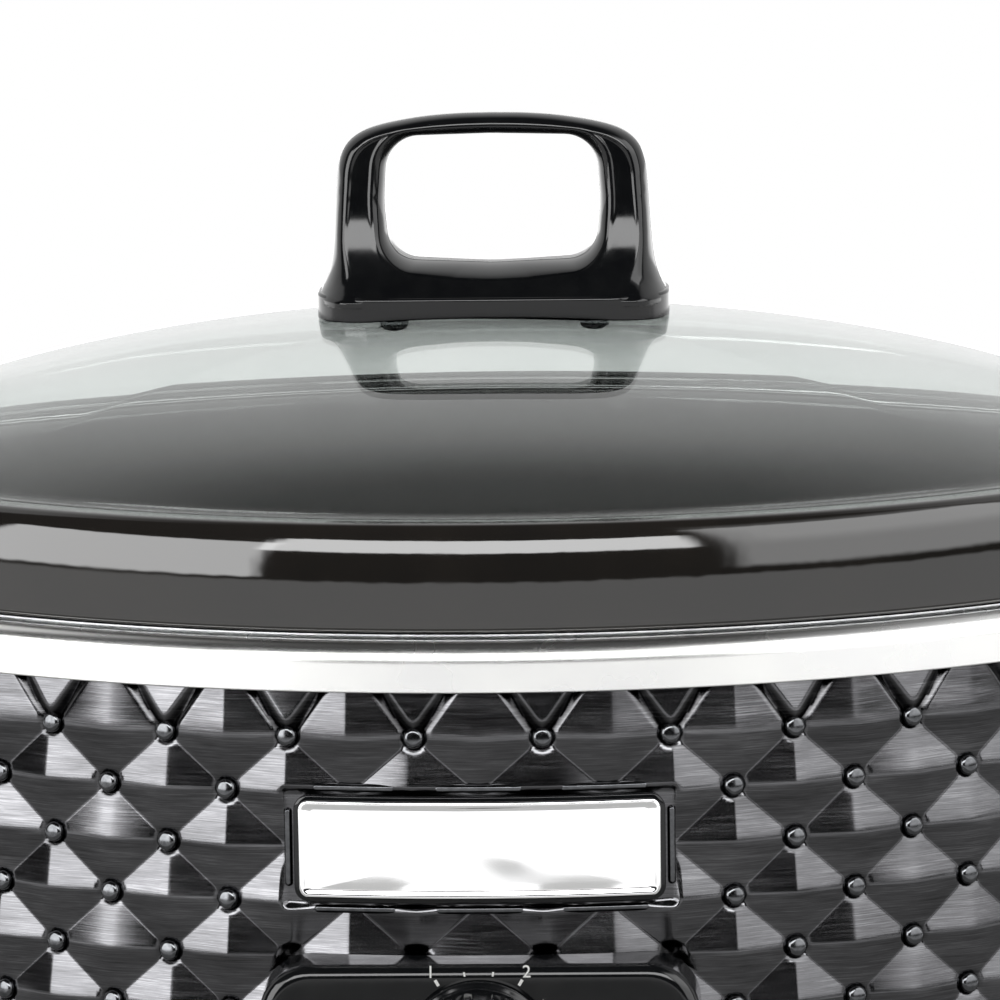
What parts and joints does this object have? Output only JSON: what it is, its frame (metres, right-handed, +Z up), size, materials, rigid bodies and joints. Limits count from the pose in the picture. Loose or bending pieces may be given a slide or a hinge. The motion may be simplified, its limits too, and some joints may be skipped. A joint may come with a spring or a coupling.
{
  "type": "slow cooker",
  "caption": "Oval electric slow cooker with embossed steel housing, lift-out glazed stoneware crock, domed glass lid with loop handle, side handles and a rotary knob.",
  "frame": {"origin": "middle of the cooker's footprint, knob and cord gland included, on the surface the feet stand on", "axes": "+X along the long axis to the right as seen from the front, -Y to the front with nameplate and knob, +Z up"},
  "size_m": [0.4574, 0.3332, 0.2569],
  "materials": {
    "tempered_glass": "clear polished tempered glass with a pale green edge",
    "handle_plastic": "gloss moulded black phenolic",
    "knob_plastic": "gloss moulded black phenolic",
    "base_plastic": "fine moulded black texture",
    "silicone": "smooth black silicone",
    "glazed_stoneware": "black gloss glaze on stoneware",
    "polished_trim": "polished stainless steel",
    "tinted_steel": "dark tinted brushed stainless steel with pressed pyramids",
    "nameplate_chrome": "bare chromed badge",
    "aluminised_steel": "dull aluminised sheet",
    "fastener_steel": "zinc plated",
    "glass_fibre": "woven glass fibre belt",
    "fuse_ceramic": "unglazed white ceramic",
    "foot_rubber": "matt black rubber",
    "terminal_nylon": "moulded natural nylon",
    "shaft_brass": "turned brass",
    "pointer_white": "white inlay",
    "lead_white": "white silicone insulation",
    "lead_red": "red silicone insulation"
  },
  "bodies": {
    "base": {"trim_ring": "polished_trim", "outer_shell": "tinted_steel", "nameplate": "nameplate_chrome", "nameplate_clips": "fastener_steel", "heating_well": "aluminised_steel", "well_stud": "fastener_steel", "heater_band": "glass_fibre", "heater_strap": "aluminised_steel", "heater_strap_screw": "fastener_steel", "heat_shield": "aluminised_steel", "shield_spacers": "fastener_steel", "thermal_fuse": "fuse_ceramic", "thermal_fuse_clip": "aluminised_steel", "base_pan": "base_plastic", "base_washer": "fastener_steel", "base_nut": "fastener_steel", "foot_front_left": "foot_rubber", "foot_front_right": "foot_rubber", "foot_rear_left": "foot_rubber", "foot_rear_right": "foot_rubber", "cord_gland": "base_plastic", "gland_nut": "base_plastic", "terminal_block": "terminal_nylon", "terminal_block_screw": "fastener_steel", "control_housing": "handle_plastic", "control_housing_screws": "fastener_steel", "rotary_switch": "base_plastic", "switch_nut": "fastener_steel", "side_handle_left": "handle_plastic", "side_handle_right": "handle_plastic", "side_handle_screws": "fastener_steel", "supply_lead": "lead_white", "heater_leads": "lead_red"},
    "crock": {"stoneware_crock": "glazed_stoneware"},
    "lid": {"lid_glass": "tempered_glass", "lid_handle": "handle_plastic", "lid_handle_gaskets": "silicone", "lid_handle_washers": "silicone", "lid_handle_screws": "fastener_steel"},
    "knob": {"knob": "knob_plastic", "knob_pointer": "pointer_white", "switch_shaft": "shaft_brass"}
  },
  "joints": [
    {"name": "crock_lift", "type": "slide", "parent": "base", "child": "crock", "axis": [0, 0, 1], "range_m": [0, 0.16]},
    {"name": "lid_lift", "type": "slide", "parent": "crock", "child": "lid", "axis": [0, 0, 1], "range_m": [0, 0.15]},
    {"name": "knob_turn", "type": "hinge", "parent": "base", "child": "knob", "pos_m": [0, -0.15, 0.052], "axis": [0, 1, 0], "range_deg": [0, 180]}
  ]
}
